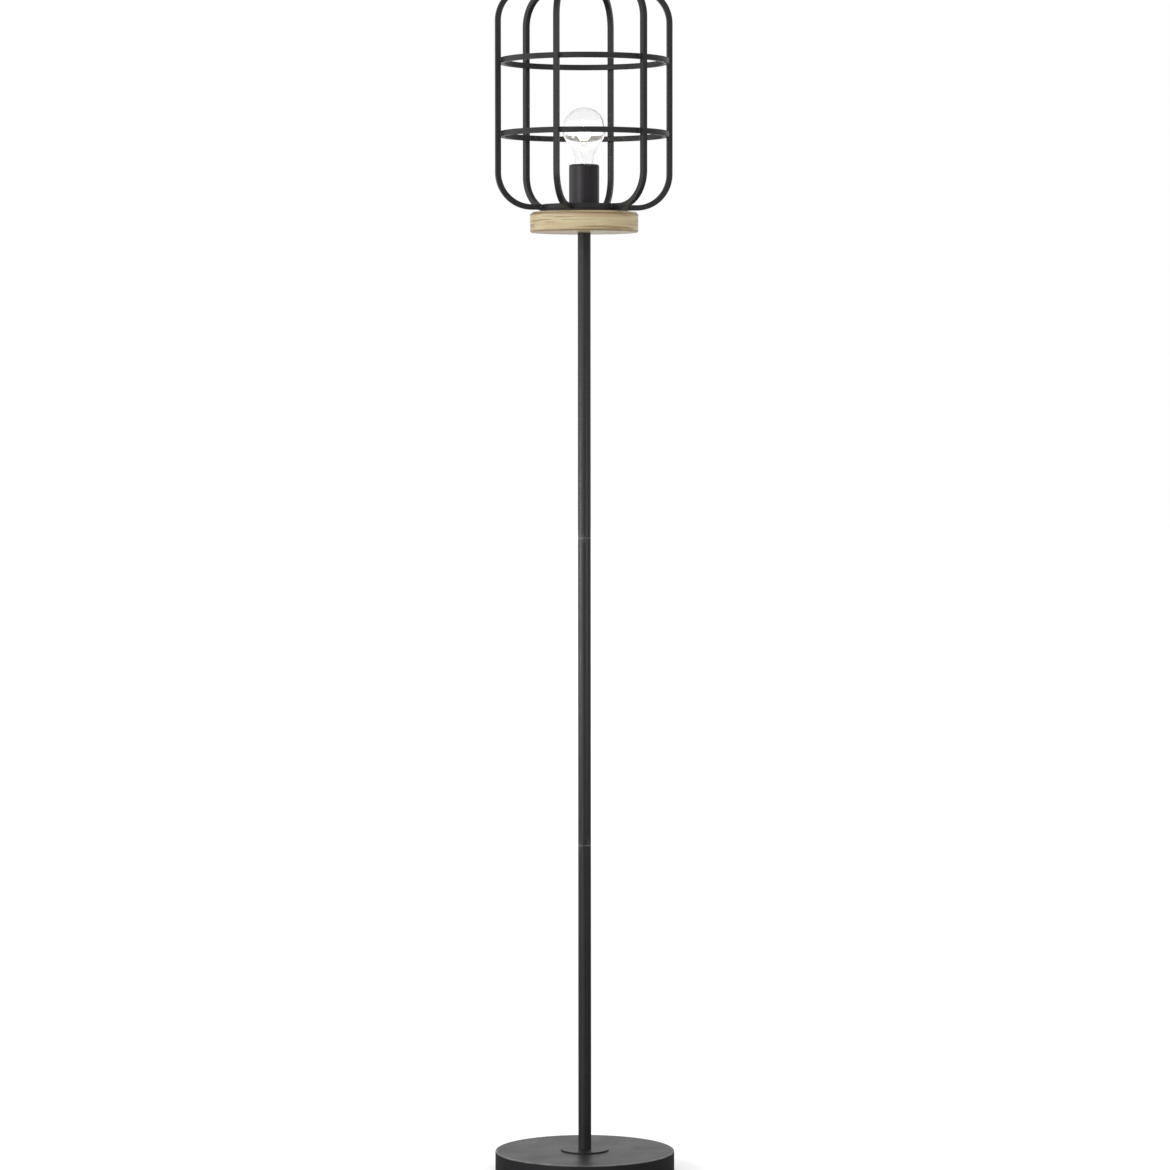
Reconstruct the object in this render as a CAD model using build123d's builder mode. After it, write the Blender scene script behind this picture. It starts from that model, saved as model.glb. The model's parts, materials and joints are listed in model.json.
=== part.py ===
from build123d import *
from math import cos, radians, sin, tan
import os

# Wire cage floor lamp, in millimetres. +Z is up and the origin is on the floor, under the
# middle of the base. The front is -Y, and the cable outlet is at the back, on +Y.

os.makedirs("parts", exist_ok=True)

# ---------------------------------------------------------------- driving dimensions

# Base: a spun steel shell over a cast weight, closed by a cover plate and a soft pad
BASE_DIAMETER = 250.0
BASE_HEIGHT = 30.0  # from the floor to the top of the shell
BASE_EDGE = 1.2  # outer radius of the shell's top edge
SHELL_WALL = 1.5
RIM_GAP = 1.0  # from the floor to the shell's rim
PAD_THICKNESS = 2.0
PAD_MARGIN = 5.0  # from the pad's edge to the shell's inside
COVER_THICKNESS = 2.0
WEIGHT_MARGIN = 1.5  # from the weight's side to the shell's inside
WEIGHT_CHAMFER = 1.0
POCKET_DIAMETER = 70.0  # pocket under the weight, round the clamping nut
COVER_SCREW_DIAMETER = 4.0
COVER_SCREW_HEAD = 7.5
COVER_SCREW_LENGTH = 12.0
COVER_SCREW_CIRCLE = 190.0
COVER_SCREW_COUNT = 3
COVER_SCREW_TURN = 30.0  # degrees from +X to the first screw

# Cable outlet in the back of the base
BUSH_BORE = 7.0
BUSH_WALL = 1.8
BUSH_LIP = 1.7  # how far the inner flange stands out from the bush's body
BUSH_LIP_THICKNESS = 2.0
CHANNEL_GAP = 0.5  # each side of the bush, in the weight's cable channel

# Hollow threaded nipples, their nuts and the washer
NIPPLE_DIAMETER = 10.0
NIPPLE_BORE = 8.0
NIPPLE_GRIP = 12.0  # length held by a tube insert
NIPPLE_END = 1.0  # how far the base nipple stands out of its nut
NUT_ACROSS_FLATS = 17.0
NUT_THICKNESS = 5.0
NUT_FACE_MARGIN = 0.4  # from the flats in to the edge of a nut's turned face
NUT_CHAMFER_ANGLE = 30.0  # degrees, of the turned-off corners
WASHER_DIAMETER = 30.0
WASHER_THICKNESS = 2.0

# Pole: three equal tubes screwed end to end
TUBE_DIAMETER = 18.0
TUBE_WALL = 1.0
TUBE_LENGTH = 428.0
TUBE_EDGE = 0.4  # chamfer round each end of a tube
INSERT_LENGTH = 15.0
FLANGE_DIAMETER = 67.0
FLANGE_THICKNESS = 2.0
FLANGE_EDGE = 0.6

# Wood disc on top of the pole
DISC_DIAMETER = 150.0
DISC_THICKNESS = 28.0
DISC_TOP_EDGE = 3.0
DISC_BOTTOM_EDGE = 1.5
TUBE_SEAT = 5.0  # how deep the pole is let into the disc

# Cage: six ribs of square bar welded to four rings of the same bar
BAR = 7.5
BAR_CORNER = 0.8
CAGE_DIAMETER = 250.0
CAGE_HEIGHT = 310.0
HUB_DIAMETER = 122.0  # outside of the bottom and top rings, and of the plate
PLATE_THICKNESS = 3.0
RIB_COUNT = 6
RIB_TURN = 12.0  # degrees from +X to the first rib
RIB_BEND = 47.0  # radius of a rib's bends, on the middle of the bar
PLATE_SCREW_DIAMETER = 3.5
PLATE_SCREW_HEAD = 7.0
PLATE_SCREW_LENGTH = 16.0
PLATE_SCREW_CIRCLE = 80.0
PLATE_SCREW_COUNT = 3
PLATE_SCREW_TURN = 40.0  # degrees from +X to the first screw

# Lampholder: a steel sleeve with a rolled-in mouth round a two-piece insulator
SLEEVE_DIAMETER = 42.0
SLEEVE_HEIGHT = 63.0
SLEEVE_WALL = 1.2
SLEEVE_CURL = 1.8  # inside radius of the rolled-in mouth
HOLDER_NUT_ACROSS_FLATS = 14.0
HOLDER_NUT_THICKNESS = 3.0
HOLDER_GRIP = 6.0  # length of nipple held by the holder's base
HOLDER_BASE_HEIGHT = 20.0
HOLDER_BASE_FLOOR = 8.0
HOLDER_BASE_WALL = 3.0
HOLDER_FLOOR = 6.0  # thickness of the insulator under the lamp's cap
HOLDER_RECESS = 6.0  # from the sleeve's mouth down to the insulator's rim
THREAD_WALL = 0.5
THREAD_RIM = 3.0  # from the insulator's rim down to the threaded shell
CONTACT_SHEET = 0.5  # thickness of the contact strips
CONTACT_WIDTH = 5.0
CONTACT_FOOT = 5.6  # length of a strip under its screw
TERMINAL_PLACE = 9.4  # from the axis to a terminal screw
TERMINAL_SCREW_DIAMETER = 3.0
TERMINAL_HEAD_DIAMETER = 4.8
TERMINAL_HEAD_HEIGHT = 1.4
TERMINAL_SCREW_LENGTH = 8.0
TONGUE_REACH = 3.0  # how far the tongue runs past the axis

# Bulb: a clear round bulb with a 27 mm screw cap
BULB_LENGTH = 107.0
GLOBE_DIAMETER = 60.0
GLOBE_FLARE = 35.0  # degrees below the globe's equator where the neck's curve begins
GLASS_WALL = 0.8
NECK_DIAMETER = 25.0
NECK_DEPTH = 6.0  # length of the neck inside the cap, above its thread
NECK_STRAIGHT = 2.0  # straight neck above the cap
CAP_DIAMETER = 26.0
CAP_LENGTH = 27.0  # from the end contact to the cap's rim
CAP_SINK = 1.0  # from the sleeve's mouth down to the cap's rim
CAP_WALL = 0.3
CAP_TAPER = 2.5  # height of the cone at the cap's lower end
CONTACT_DIAMETER = 9.5
CONTACT_THICKNESS = 1.5
INSULATOR_DIAMETER = 21.0
INSULATOR_HEIGHT = 6.0
STEM_LENGTH = 31.0  # from the neck's lower end to the top of the stem
STEM_DIAMETER = 7.4
STEM_FLARE = 11.0  # height of the flare that closes the neck
STEM_RIM = 1.0
PINCH_WIDTH = 9.8
PINCH_THICKNESS = 3.4
PINCH_HEIGHT = 7.0
PINCH_CORNER = 1.1
WIRE_DIAMETER = 0.8
WIRE_SPREAD = 5.0  # between the lead wires where they leave the stem
WIRE_RISE = 3.0  # straight start of a lead wire
WIRE_BEND = 2.0
FILAMENT_SPAN = 22.0
FILAMENT_BOW = 3.0
FILAMENT_DIAMETER = 1.6

# Clearances
PRESS_GAP = 0.02  # round a pressed-in piece
THREAD_GAP = 0.1  # round a thread, which is modelled plain
SLIP_GAP = 0.2  # round a piece that is dropped in by hand
TURN_GAP = 0.4  # round the cap, which turns in the holder
TOUCH_GAP = 0.3  # between the tongue and the cap's end contact

# ---------------------------------------------------------------- places worked out

SHELL_RADIUS = BASE_DIAMETER / 2
SHELL_INSIDE = SHELL_RADIUS - SHELL_WALL
SHELL_CEILING = BASE_HEIGHT - SHELL_WALL
COVER_TOP = PAD_THICKNESS + COVER_THICKNESS
WEIGHT_RADIUS = SHELL_INSIDE - WEIGHT_MARGIN

BUSH_RADIUS = BUSH_BORE / 2 + BUSH_WALL
BUSH_LIP_RADIUS = BUSH_RADIUS + BUSH_LIP
OUTLET_HEIGHT = COVER_TOP + BUSH_LIP_RADIUS + SLIP_GAP
CHANNEL_WIDTH = 2 * (BUSH_LIP_RADIUS + CHANNEL_GAP)
POCKET_TOP = OUTLET_HEIGHT + BUSH_LIP_RADIUS + CHANNEL_GAP

NIPPLE_RADIUS = NIPPLE_DIAMETER / 2
NIPPLE_HOLE = NIPPLE_RADIUS + SLIP_GAP
WASHER_BOTTOM = POCKET_TOP - WASHER_THICKNESS
BASE_NUT_BOTTOM = WASHER_BOTTOM - NUT_THICKNESS

TUBE_NAMES = ["lower", "middle", "upper"]
TUBE_FOOT = BASE_HEIGHT
POLE_TOP = TUBE_FOOT + len(TUBE_NAMES) * TUBE_LENGTH
TUBE_RADIUS = TUBE_DIAMETER / 2
TUBE_INSIDE = TUBE_RADIUS - TUBE_WALL

DISC_BOTTOM = POLE_TOP - TUBE_SEAT
DISC_TOP = DISC_BOTTOM + DISC_THICKNESS
PLATE_TOP = DISC_TOP + PLATE_THICKNESS

HUB_RADIUS = HUB_DIAMETER / 2
CAGE_TOP = PLATE_TOP + CAGE_HEIGHT
BOTTOM_BAR = PLATE_TOP + BAR / 2
TOP_BAR = CAGE_TOP - BAR / 2
RING_RADIUS = CAGE_DIAMETER / 2 - BAR  # the middle rings lie inside the ribs
RING_NAMES = ["lower", "upper"]

SLEEVE_RADIUS = SLEEVE_DIAMETER / 2
SLEEVE_FLOOR = PLATE_TOP + SLEEVE_WALL
SLEEVE_TOP = PLATE_TOP + SLEEVE_HEIGHT
MOUTH_RADIUS = SLEEVE_RADIUS - SLEEVE_WALL - SLEEVE_CURL
HOLDER_RADIUS = MOUTH_RADIUS - SLIP_GAP
HOLDER_BOTTOM = SLEEVE_FLOOR + HOLDER_NUT_THICKNESS
HOLDER_SPLIT = HOLDER_BOTTOM + HOLDER_BASE_HEIGHT
SOCKET_FLOOR = HOLDER_SPLIT + HOLDER_FLOOR
HOLDER_TOP = SLEEVE_TOP - HOLDER_RECESS
THREAD_INSIDE = CAP_DIAMETER / 2 + TURN_GAP
THREAD_OUTSIDE = THREAD_INSIDE + THREAD_WALL

BULB_BOTTOM = SLEEVE_TOP - CAP_SINK - CAP_LENGTH
GLOBE_RADIUS = GLOBE_DIAMETER / 2
BULB_TOP = BULB_BOTTOM + BULB_LENGTH
GLOBE_CENTRE = BULB_TOP - GLOBE_RADIUS
CAP_RIM = BULB_BOTTOM + CAP_LENGTH
NECK_BOTTOM = CAP_RIM - NECK_DEPTH
NECK_RADIUS = NECK_DIAMETER / 2
CAP_RADIUS = CAP_DIAMETER / 2
INSULATOR_BOTTOM = BULB_BOTTOM + CONTACT_THICKNESS + SLIP_GAP
INSULATOR_TOP = INSULATOR_BOTTOM + INSULATOR_HEIGHT
CAP_FLOOR = INSULATOR_BOTTOM + INSULATOR_HEIGHT / 2
STEM_TOP = NECK_BOTTOM + STEM_LENGTH


# ---------------------------------------------------------------- helpers


def write(piece, label):
    """Label a finished piece and write its STEP file, which names its node."""
    piece.part.label = label
    export_step(piece.part, f"parts/{label}.step")


def hollow_rod(outer_radius, inner_radius, bottom, top):
    """An upright tube on the lamp's axis."""
    with BuildPart() as rod:
        with BuildSketch(Plane.XY.offset(bottom)):
            Circle(outer_radius)
            Circle(inner_radius, mode=Mode.SUBTRACT)
        extrude(amount=top - bottom)
    return rod


def hexagon_nut(across_flats, bottom, thickness):
    """A nut on a nipple, with its corners turned off on both faces."""
    top = bottom + thickness
    face = across_flats / 2 - NUT_FACE_MARGIN
    corner = across_flats / 2 / cos(radians(30))
    drop = (corner - face) * tan(radians(NUT_CHAMFER_ANGLE))
    with BuildPart() as nut:
        with BuildSketch(Plane.XY.offset(bottom)):
            RegularPolygon(across_flats / 2, 6, major_radius=False)
        extrude(amount=thickness)
        with BuildSketch(Plane.XZ):
            with BuildLine():
                Polyline(
                    (0, bottom),
                    (face, bottom),
                    (corner, bottom + drop),
                    (corner, top - drop),
                    (face, top),
                    (0, top),
                    close=True,
                )
            make_face()
        revolve(axis=Axis.Z, mode=Mode.INTERSECT)
        with BuildSketch(Plane.XY.offset(bottom)):
            Circle(NIPPLE_RADIUS + THREAD_GAP)
        extrude(amount=thickness, mode=Mode.SUBTRACT)
    return nut


def countersunk_screws(head_plane, places, head_diameter, diameter, length):
    """Screws at places, each with its head flush in head_plane and its shank behind it."""
    head_height = (head_diameter - diameter) / 2
    behind = (Align.CENTER, Align.CENTER, Align.MAX)
    with BuildPart(head_plane) as screws:
        with places:
            Cylinder(diameter / 2, length, align=behind)
            Cone(diameter / 2, head_diameter / 2, head_height, align=behind)
    return screws


def square_ring(outer_radius, middle):
    """A ring of square bar that lies flat, with the middle of its bar at this height."""
    with BuildPart() as ring:
        with BuildSketch(Plane.XZ):
            with Locations((outer_radius - BAR / 2, middle)):
                RectangleRounded(BAR, BAR, BAR_CORNER)
        revolve(axis=Axis.Z)
    return ring


def cage_rib(angle):
    """A C-shaped rib: two legs, two bends and an upright, coped to the bottom and top rings."""
    leg_start = HUB_RADIUS - BAR
    upright = (CAGE_DIAMETER - BAR) / 2
    out, side = cos(radians(angle)), sin(radians(angle))
    with BuildPart() as rib:
        with BuildLine(Plane(origin=(0, 0, 0), x_dir=(out, side, 0), z_dir=(side, -out, 0))):
            middle = FilletPolyline(
                (leg_start, BOTTOM_BAR),
                (upright, BOTTOM_BAR),
                (upright, TOP_BAR),
                (leg_start, TOP_BAR),
                radius=RIB_BEND,
            )
        with BuildSketch(Plane(origin=middle @ 0, x_dir=(0, 0, 1), z_dir=middle % 0)):
            RectangleRounded(BAR, BAR, BAR_CORNER)
        sweep()
        with BuildSketch(Plane.XY.offset(PLATE_TOP)):
            Circle(HUB_RADIUS)
        extrude(amount=CAGE_HEIGHT, mode=Mode.SUBTRACT)
    return rib


# ---------------------------------------------------------------- base


def cover_screw_places(turn):
    """The circle of screws that hold the cover to the weight."""
    return PolarLocations(COVER_SCREW_CIRCLE / 2, COVER_SCREW_COUNT, start_angle=turn)


# Seen from below, angles run the other way round.
UNDERSIDE = Plane(origin=(0, 0, PAD_THICKNESS), x_dir=(1, 0, 0), z_dir=(0, 0, -1))
OUTLET = Plane(origin=(0, 0, OUTLET_HEIGHT), x_dir=(1, 0, 0), z_dir=(0, 1, 0))

with BuildPart() as base_pad:
    with BuildSketch():
        Circle(SHELL_INSIDE - PAD_MARGIN)
    extrude(amount=PAD_THICKNESS)
write(base_pad, "base_pad")

with BuildPart() as base_cover:
    with BuildSketch(Plane.XY.offset(PAD_THICKNESS)):
        Circle(SHELL_INSIDE - SLIP_GAP)
    extrude(amount=COVER_THICKNESS)
    with Locations(UNDERSIDE):
        with cover_screw_places(-COVER_SCREW_TURN):
            CounterSinkHole(
                COVER_SCREW_DIAMETER / 2 + SLIP_GAP,
                COVER_SCREW_HEAD / 2 + SLIP_GAP,
                depth=COVER_THICKNESS,
                counter_sink_angle=90,
            )
write(base_cover, "base_cover")

cover_screws = countersunk_screws(
    UNDERSIDE,
    cover_screw_places(-COVER_SCREW_TURN),
    COVER_SCREW_HEAD,
    COVER_SCREW_DIAMETER,
    COVER_SCREW_LENGTH,
)
write(cover_screws, "cover_screws")

with BuildPart() as base_weight:
    with BuildSketch(Plane.XY.offset(COVER_TOP)):
        Circle(WEIGHT_RADIUS)
    extrude(amount=SHELL_CEILING - COVER_TOP)
    chamfer(base_weight.edges(), WEIGHT_CHAMFER)
    # The pocket for the clamping nut, and the cable channel from it to the back
    with BuildSketch(Plane.XY.offset(COVER_TOP)):
        Circle(POCKET_DIAMETER / 2)
        with Locations((0, SHELL_RADIUS / 2)):
            Rectangle(CHANNEL_WIDTH, SHELL_RADIUS)
    extrude(amount=POCKET_TOP - COVER_TOP, mode=Mode.SUBTRACT)
    with Locations((0, 0, SHELL_CEILING)):
        Hole(NIPPLE_HOLE)
    with BuildSketch(Plane.XY.offset(COVER_TOP)):
        with cover_screw_places(COVER_SCREW_TURN):
            Circle(COVER_SCREW_DIAMETER / 2 + THREAD_GAP)
    extrude(amount=COVER_SCREW_LENGTH, mode=Mode.SUBTRACT)
write(base_weight, "base_weight")

with BuildPart() as base_shell:
    with BuildSketch(Plane.XZ) as shell_section:
        with BuildLine():
            Polyline(
                (NIPPLE_HOLE, BASE_HEIGHT),
                (SHELL_RADIUS, BASE_HEIGHT),
                (SHELL_RADIUS, RIM_GAP),
                (SHELL_INSIDE, RIM_GAP),
                (SHELL_INSIDE, SHELL_CEILING),
                (NIPPLE_HOLE, SHELL_CEILING),
                close=True,
            )
        make_face()
        outer_corner = shell_section.vertices().group_by(Axis.Y)[-1].sort_by(Axis.X)[-1]
        fillet(outer_corner, BASE_EDGE)
    revolve(axis=Axis.Z)
    with BuildSketch(OUTLET):
        Circle(BUSH_RADIUS + SLIP_GAP)
    extrude(amount=SHELL_RADIUS, mode=Mode.SUBTRACT)
write(base_shell, "base_shell")

# The bush: a flange inside the shell, a body through its wall that ends flush, and the bore
with BuildPart() as cable_bush:
    lip_start = SHELL_INSIDE - BUSH_LIP_THICKNESS
    with BuildSketch(OUTLET.offset(lip_start)):
        Circle(BUSH_LIP_RADIUS)
    extrude(amount=BUSH_LIP_THICKNESS)
    with BuildSketch():
        Circle(SHELL_INSIDE)
    extrude(amount=BASE_HEIGHT, mode=Mode.INTERSECT)
    with BuildSketch(OUTLET.offset(lip_start)):
        Circle(BUSH_RADIUS)
    extrude(amount=SHELL_RADIUS - lip_start)
    with BuildSketch():
        Circle(SHELL_RADIUS)
    extrude(amount=BASE_HEIGHT, mode=Mode.INTERSECT)
    with BuildSketch(OUTLET.offset(lip_start)):
        Circle(BUSH_BORE / 2)
    extrude(amount=SHELL_RADIUS - lip_start, mode=Mode.SUBTRACT)
write(cable_bush, "cable_bush")

base_nipple = hollow_rod(
    NIPPLE_RADIUS,
    NIPPLE_BORE / 2,
    BASE_NUT_BOTTOM - NIPPLE_END,
    TUBE_FOOT + NIPPLE_GRIP,
)
write(base_nipple, "base_nipple")

base_washer = hollow_rod(WASHER_DIAMETER / 2, NIPPLE_HOLE, WASHER_BOTTOM, POCKET_TOP)
write(base_washer, "base_washer")

base_nut = hexagon_nut(NUT_ACROSS_FLATS, BASE_NUT_BOTTOM, NUT_THICKNESS)
write(base_nut, "base_nut")

# ---------------------------------------------------------------- pole

with BuildPart() as pole_flange:
    with BuildSketch(Plane.XY.offset(BASE_HEIGHT)):
        Circle(FLANGE_DIAMETER / 2)
    extrude(amount=FLANGE_THICKNESS)
    fillet(pole_flange.edges().sort_by(Axis.Z)[-1], FLANGE_EDGE)
    with BuildSketch(Plane.XY.offset(BASE_HEIGHT)):
        Circle(TUBE_RADIUS + SLIP_GAP)
    extrude(amount=FLANGE_THICKNESS, mode=Mode.SUBTRACT)
write(pole_flange, "pole_flange")

insert_number = 0
for section, tube_name in enumerate(TUBE_NAMES):
    foot = TUBE_FOOT + section * TUBE_LENGTH
    with BuildPart() as pole_tube:
        with BuildSketch(Plane.XY.offset(foot)):
            Circle(TUBE_RADIUS)
        extrude(amount=TUBE_LENGTH)
        chamfer(pole_tube.edges(), TUBE_EDGE)
        with BuildSketch(Plane.XY.offset(foot)):
            Circle(TUBE_INSIDE)
        extrude(amount=TUBE_LENGTH, mode=Mode.SUBTRACT)
    write(pole_tube, f"pole_tube_{tube_name}")

    # A threaded insert is pressed into each end of the tube.
    for insert_bottom in (foot, foot + TUBE_LENGTH - INSERT_LENGTH):
        insert_number += 1
        tube_insert = hollow_rod(
            TUBE_INSIDE - PRESS_GAP,
            NIPPLE_RADIUS + THREAD_GAP,
            insert_bottom,
            insert_bottom + INSERT_LENGTH,
        )
        write(tube_insert, f"tube_insert_{insert_number}")

for joint_number, joint_name in enumerate(["lower", "upper"], start=1):
    joint = TUBE_FOOT + joint_number * TUBE_LENGTH
    joint_nipple = hollow_rod(
        NIPPLE_RADIUS, NIPPLE_BORE / 2, joint - NIPPLE_GRIP, joint + NIPPLE_GRIP
    )
    write(joint_nipple, f"joint_nipple_{joint_name}")

top_nipple = hollow_rod(
    NIPPLE_RADIUS,
    NIPPLE_BORE / 2,
    POLE_TOP - NIPPLE_GRIP,
    HOLDER_BOTTOM + HOLDER_GRIP,
)
write(top_nipple, "top_nipple")

# ---------------------------------------------------------------- wood disc and cage


def plate_screw_places():
    """The circle of screws that hold the cage's plate to the wood disc."""
    return PolarLocations(
        PLATE_SCREW_CIRCLE / 2, PLATE_SCREW_COUNT, start_angle=PLATE_SCREW_TURN
    )


with BuildPart() as wood_disc:
    with BuildSketch(Plane.XY.offset(DISC_BOTTOM)):
        Circle(DISC_DIAMETER / 2)
    extrude(amount=DISC_THICKNESS)
    chamfer(wood_disc.edges().sort_by(Axis.Z)[-1], DISC_TOP_EDGE)
    chamfer(wood_disc.edges().sort_by(Axis.Z)[0], DISC_BOTTOM_EDGE)
    with BuildSketch(Plane.XY.offset(DISC_BOTTOM)):
        Circle(TUBE_RADIUS + SLIP_GAP)
    extrude(amount=TUBE_SEAT, mode=Mode.SUBTRACT)
    with Locations((0, 0, DISC_TOP)):
        Hole(NIPPLE_HOLE)
    with BuildSketch(Plane.XY.offset(DISC_TOP)):
        with plate_screw_places():
            Circle(PLATE_SCREW_DIAMETER / 2 + THREAD_GAP)
    extrude(amount=PLATE_THICKNESS - PLATE_SCREW_LENGTH, mode=Mode.SUBTRACT)
write(wood_disc, "wood_disc")

with BuildPart() as cage_plate:
    with BuildSketch(Plane.XY.offset(DISC_TOP)):
        Circle(HUB_RADIUS)
        Circle(NIPPLE_HOLE, mode=Mode.SUBTRACT)
    extrude(amount=PLATE_THICKNESS)
    with Locations(Plane.XY.offset(PLATE_TOP)):
        with plate_screw_places():
            CounterSinkHole(
                PLATE_SCREW_DIAMETER / 2 + SLIP_GAP,
                PLATE_SCREW_HEAD / 2 + SLIP_GAP,
                depth=PLATE_THICKNESS,
                counter_sink_angle=90,
            )
write(cage_plate, "cage_plate")

plate_screws = countersunk_screws(
    Plane.XY.offset(PLATE_TOP),
    plate_screw_places(),
    PLATE_SCREW_HEAD,
    PLATE_SCREW_DIAMETER,
    PLATE_SCREW_LENGTH,
)
write(plate_screws, "plate_screws")

write(square_ring(HUB_RADIUS, BOTTOM_BAR), "cage_ring_bottom")
write(square_ring(HUB_RADIUS, TOP_BAR), "cage_ring_top")

ring_spacing = (TOP_BAR - BOTTOM_BAR) / (len(RING_NAMES) + 1)
for ring_number, ring_name in enumerate(RING_NAMES, start=1):
    ring = square_ring(RING_RADIUS, BOTTOM_BAR + ring_number * ring_spacing)
    write(ring, f"cage_ring_{ring_name}")

for rib_number in range(RIB_COUNT):
    rib = cage_rib(RIB_TURN + rib_number * 360 / RIB_COUNT)
    write(rib, f"cage_rib_{rib_number + 1}")

# ---------------------------------------------------------------- lampholder

# The sleeve: a cup with its floor on the plate and its mouth rolled in
with BuildPart() as holder_sleeve:
    curl = (MOUTH_RADIUS, SLEEVE_TOP - SLEEVE_WALL - SLEEVE_CURL)
    with BuildSketch(Plane.XZ):
        with BuildLine():
            outside = CenterArc(curl, SLEEVE_WALL + SLEEVE_CURL, 0, 90)
            inside = CenterArc(curl, SLEEVE_CURL, 0, 90)
            Line(outside @ 1, inside @ 1)
            Polyline(
                outside @ 0,
                (SLEEVE_RADIUS, PLATE_TOP),
                (NIPPLE_HOLE, PLATE_TOP),
                (NIPPLE_HOLE, SLEEVE_FLOOR),
                (SLEEVE_RADIUS - SLEEVE_WALL, SLEEVE_FLOOR),
                inside @ 0,
            )
        make_face()
    revolve(axis=Axis.Z)
write(holder_sleeve, "holder_sleeve")

holder_nut = hexagon_nut(HOLDER_NUT_ACROSS_FLATS, SLEEVE_FLOOR, HOLDER_NUT_THICKNESS)
write(holder_nut, "holder_nut")

# Lower half of the insulator: screwed onto the nipple, hollow above for the wires
with BuildPart() as holder_base:
    with BuildSketch(Plane.XY.offset(HOLDER_BOTTOM)):
        Circle(HOLDER_RADIUS)
        Circle(NIPPLE_RADIUS + THREAD_GAP, mode=Mode.SUBTRACT)
    extrude(amount=HOLDER_BASE_HEIGHT)
    with BuildSketch(Plane.XY.offset(HOLDER_BOTTOM + HOLDER_BASE_FLOOR)):
        Circle(HOLDER_RADIUS - HOLDER_BASE_WALL)
    extrude(amount=HOLDER_BASE_HEIGHT - HOLDER_BASE_FLOOR, mode=Mode.SUBTRACT)
write(holder_base, "holder_base")

terminal_places = Locations((-TERMINAL_PLACE, 0), (TERMINAL_PLACE, 0))

# Upper half of the insulator: the well that the threaded shell stands in
with BuildPart() as holder_body:
    with BuildSketch(Plane.XY.offset(HOLDER_SPLIT)):
        Circle(HOLDER_RADIUS)
    extrude(amount=HOLDER_TOP - HOLDER_SPLIT)
    with BuildSketch(Plane.XY.offset(SOCKET_FLOOR)):
        Circle(THREAD_OUTSIDE + PRESS_GAP)
    extrude(amount=HOLDER_TOP - SOCKET_FLOOR, mode=Mode.SUBTRACT)
    with BuildSketch(Plane.XY.offset(HOLDER_SPLIT)):
        with terminal_places:
            Circle(TERMINAL_SCREW_DIAMETER / 2 + THREAD_GAP)
    extrude(amount=HOLDER_FLOOR, mode=Mode.SUBTRACT)
write(holder_body, "holder_body")

# The threaded shell, with a lug on the floor under the right-hand terminal screw
with BuildPart() as holder_thread:
    with BuildSketch(Plane.XY.offset(SOCKET_FLOOR)):
        Circle(THREAD_OUTSIDE)
        Circle(THREAD_INSIDE, mode=Mode.SUBTRACT)
    extrude(amount=HOLDER_TOP - THREAD_RIM - SOCKET_FLOOR)
    with BuildSketch(Plane.XY.offset(SOCKET_FLOOR)):
        lug_start = TERMINAL_PLACE - CONTACT_FOOT / 2
        lug_length = THREAD_INSIDE + THREAD_WALL / 2 - lug_start
        with Locations((lug_start + lug_length / 2, 0)):
            Rectangle(lug_length, CONTACT_WIDTH)
        with Locations((TERMINAL_PLACE, 0)):
            Circle(TERMINAL_SCREW_DIAMETER / 2 + THREAD_GAP, mode=Mode.SUBTRACT)
    extrude(amount=CONTACT_SHEET)
write(holder_thread, "holder_thread")

# The foot of the centre contact, under the left-hand terminal screw
with BuildPart() as centre_terminal:
    with BuildSketch(Plane.XY.offset(SOCKET_FLOOR)):
        with Locations((-TERMINAL_PLACE, 0)):
            Rectangle(CONTACT_FOOT, CONTACT_WIDTH)
            Circle(TERMINAL_SCREW_DIAMETER / 2 + THREAD_GAP, mode=Mode.SUBTRACT)
    extrude(amount=CONTACT_SHEET)
write(centre_terminal, "centre_terminal")

# The springy tongue of the centre contact slopes up from its foot to under the bulb.
with BuildPart() as centre_tongue:
    tongue_start = CONTACT_FOOT / 2 - TERMINAL_PLACE + SLIP_GAP
    tongue_top = BULB_BOTTOM - TOUCH_GAP
    with BuildSketch(Plane.XZ):
        with BuildLine():
            Polyline(
                (tongue_start, SOCKET_FLOOR + SLIP_GAP),
                (tongue_start, SOCKET_FLOOR + SLIP_GAP + CONTACT_SHEET),
                (TONGUE_REACH, tongue_top),
                (TONGUE_REACH, tongue_top - CONTACT_SHEET),
                close=True,
            )
        make_face()
    extrude(amount=CONTACT_WIDTH / 2, both=True)
write(centre_tongue, "centre_tongue")

with BuildPart() as terminal_screws:
    head_bottom = SOCKET_FLOOR + CONTACT_SHEET
    with BuildSketch(Plane.XY.offset(head_bottom)):
        with terminal_places:
            Circle(TERMINAL_HEAD_DIAMETER / 2)
    extrude(amount=TERMINAL_HEAD_HEIGHT)
    with BuildSketch(Plane.XY.offset(head_bottom)):
        with terminal_places:
            Circle(TERMINAL_SCREW_DIAMETER / 2)
    extrude(amount=-TERMINAL_SCREW_LENGTH)
write(terminal_screws, "terminal_screws")

# ---------------------------------------------------------------- bulb

with BuildPart() as bulb_contact:
    with BuildSketch(Plane.XY.offset(BULB_BOTTOM)):
        Circle(CONTACT_DIAMETER / 2)
    extrude(amount=CONTACT_THICKNESS)
write(bulb_contact, "bulb_contact")

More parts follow.
